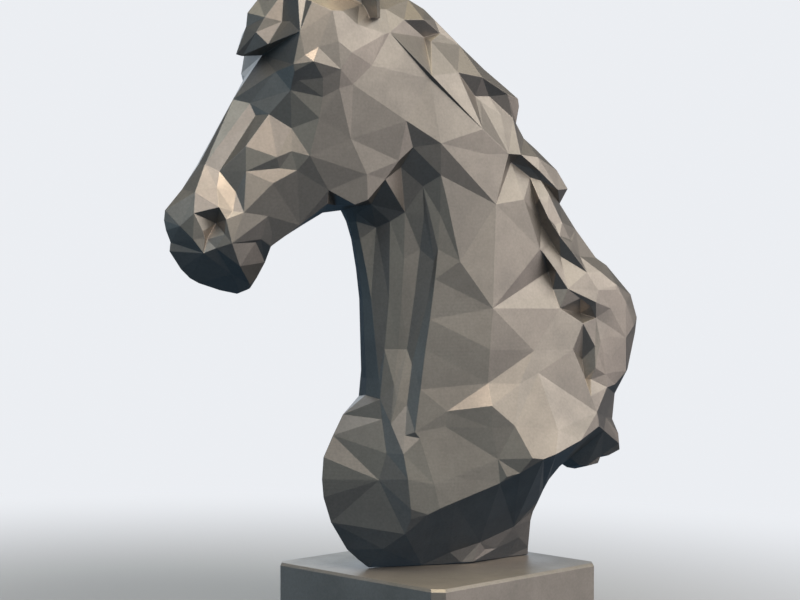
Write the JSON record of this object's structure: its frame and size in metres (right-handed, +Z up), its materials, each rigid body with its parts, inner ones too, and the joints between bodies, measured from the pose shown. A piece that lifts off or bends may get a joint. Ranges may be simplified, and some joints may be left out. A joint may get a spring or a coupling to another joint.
{
  "type": "horse head bust",
  "caption": "Faceted horse head and neck bust with a windswept mane, standing on a square plinth.",
  "frame": {"origin": "centre of the plinth's underside", "axes": "+Z up, -Y towards the front of the plinth; the bust looks along -Y, turned 16.5 degrees towards -X"},
  "size_m": [0.1051, 0.2258, 0.3274],
  "materials": {
    "bust_casting": "satin grey-brown patina on a metal casting, with faint fine striations on flat facets",
    "plinth_casting": "satin grey-brown patina, a little duller than the bust"
  },
  "bodies": {
    "root": {"bust": "bust_casting", "plinth": "plinth_casting"}
  },
  "joints": []
}
